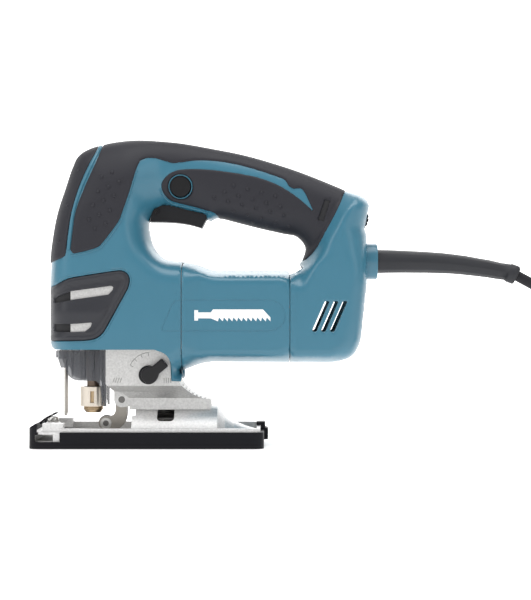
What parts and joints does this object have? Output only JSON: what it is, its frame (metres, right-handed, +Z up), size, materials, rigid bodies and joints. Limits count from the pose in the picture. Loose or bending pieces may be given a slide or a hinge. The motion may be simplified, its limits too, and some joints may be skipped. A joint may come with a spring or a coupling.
{
  "type": "jigsaw power tool",
  "caption": "Mains jigsaw with a D handle, trigger and lock button, reciprocating plunger with blade clamp, clear guard, tilting base, and a coiled cord with its plug.",
  "frame": {"origin": "middle of the bounding box in plan, without the cord, on the plane of the sole", "axes": "+Z up, +X from the nose to the cord, -Y the side with the lock button and the orbit lever"},
  "size_m": [0.4945, 0.1122, 0.2083],
  "materials": {
    "teal_plastic": "satin, fine texture",
    "soft_grip": "matte, raised dots",
    "black_plastic": "satin",
    "cast_aluminium": "blasted casting",
    "steel": "ground",
    "dark_steel": "blackened",
    "hardened_steel": "heat tinted",
    "sintered_steel": "sintered",
    "bronze": "sintered bronze",
    "copper": "enamelled wire",
    "laminations": "stacked sheet",
    "carbon": "pressed carbon",
    "smoky_plastic": "tinted clear",
    "clear_plastic": "clear",
    "white_plastic": "gloss",
    "cord_rubber": "matte",
    "nickel": "nickel plated"
  },
  "bodies": {
    "housing": {"handle_left": "teal_plastic", "handle_right": "teal_plastic", "grip_left": "soft_grip", "grip_right": "soft_grip", "front_grille": "black_plastic", "motor_housing": "teal_plastic", "gear_housing": "cast_aluminium", "plunger_bushes": "bronze", "gear_shaft": "steel", "front_bearing": "steel", "rear_bearing": "steel", "gear_housing_screws": "steel", "stator_core": "laminations", "field_coils": "copper", "brush_holders": "bronze", "carbon_brushes": "carbon", "baffle_plate": "black_plastic", "trigger_pin": "steel", "speed_controller": "black_plastic", "switch_unit": "black_plastic", "guard_wire": "nickel", "roller_arm_pin": "steel", "led_lens": "clear_plastic", "handle_screws": "dark_steel", "clamp_bolt": "steel", "cord_guard": "cord_rubber", "cord": "cord_rubber", "cord_coil": "cord_rubber", "cord_tie": "black_plastic", "plug_body": "cord_rubber", "plug_pins": "nickel", "cord_clamp": "black_plastic"},
    "armature": {"armature_shaft": "steel", "armature_core": "laminations", "armature_windings": "copper", "commutator": "copper", "fan": "white_plastic", "pinion": "steel"},
    "crank": {"crank_gear": "sintered_steel", "crank_pin": "steel", "eccentric": "sintered_steel"},
    "plunger": {"plunger_rod": "hardened_steel", "plunger_yoke": "sintered_steel", "blade_clamp_core": "dark_steel", "clamp_pin": "steel"},
    "blade_sleeve": {"clamp_sleeve": "dark_steel"},
    "balancer": {"counterweight": "sintered_steel"},
    "switch_trigger": {"trigger": "black_plastic"},
    "lock": {"lock_button": "black_plastic"},
    "dial": {"speed_dial": "black_plastic"},
    "orbit": {"orbit_lever": "black_plastic"},
    "blade_guide": {"roller_arm": "dark_steel", "roller_pin": "steel"},
    "guide_roller": {"roller": "steel"},
    "clear_guard": {"dust_cover": "smoky_plastic"},
    "shuttle": {"clamp_plate": "steel"},
    "base": {"base_casting": "cast_aluminium", "sole_cover": "black_plastic"}
  },
  "joints": [
    {"name": "armature_spin", "type": "hinge", "parent": "housing", "child": "armature", "pos_m": [0, 0, 0.088], "axis": [1, 0, 0], "continuous": true},
    {"name": "crank_spin", "type": "hinge", "parent": "housing", "child": "crank", "pos_m": [-0.046, 0, 0.115], "axis": [1, 0, 0], "continuous": true},
    {"name": "plunger_slide", "type": "slide", "parent": "housing", "child": "plunger", "axis": [0, 0, 1], "range_m": [-0.002, 0.024]},
    {"name": "balancer_slide", "type": "slide", "parent": "housing", "child": "balancer", "axis": [0, 0, 1], "range_m": [-0.012, 0.001]},
    {"name": "sleeve_turn", "type": "hinge", "parent": "plunger", "child": "blade_sleeve", "pos_m": [-0.0777, 0, 0.033], "axis": [0, 0, 1], "range_deg": [0, 40], "stiffness_Nm_per_rad": 0.02, "springref_deg": -11.46},
    {"name": "trigger_press", "type": "hinge", "parent": "housing", "child": "switch_trigger", "pos_m": [-0.034, 0, 0.16], "axis": [0, -1, 0], "range_deg": [0, 7], "stiffness_Nm_per_rad": 0.5, "springref_deg": -5.73},
    {"name": "lock_press", "type": "slide", "parent": "housing", "child": "lock", "axis": [0, 1, 0], "range_m": [0, 0.003], "stiffness_N_per_m": 400, "springref_m": -0.003},
    {"name": "dial_turn", "type": "hinge", "parent": "housing", "child": "dial", "pos_m": [0.1015, 0, 0.1555], "axis": [0, 1, 0], "range_deg": [-140, 140]},
    {"name": "orbit_turn", "type": "hinge", "parent": "housing", "child": "orbit", "pos_m": [-0.037, -0.028, 0.0489], "axis": [0, 1, 0], "range_deg": [-45, 45]},
    {"name": "guide_swing", "type": "hinge", "parent": "housing", "child": "blade_guide", "pos_m": [-0.0572, 0, 0.0315], "axis": [0, 1, 0], "range_deg": [0, 4]},
    {"name": "roller_spin", "type": "hinge", "parent": "blade_guide", "child": "guide_roller", "pos_m": [-0.0685, 0, 0.015], "axis": [0, 1, 0], "continuous": true},
    {"name": "guard_slide", "type": "slide", "parent": "housing", "child": "clear_guard", "axis": [0, 0, 1], "range_m": [0, 0.014]},
    {"name": "base_slide", "type": "slide", "parent": "housing", "child": "shuttle", "axis": [1, 0, 0], "range_m": [0, 0.006]},
    {"name": "base_tilt", "type": "hinge", "parent": "shuttle", "child": "base", "pos_m": [0, 0, 0], "axis": [1, 0, 0], "range_deg": [-45, 45]}
  ],
  "couplings": [
    {"joint": "crank_spin", "follows": "armature_spin", "ratio": -0.16129},
    {"joint": "balancer_slide", "follows": "plunger_slide", "ratio": -0.5}
  ]
}
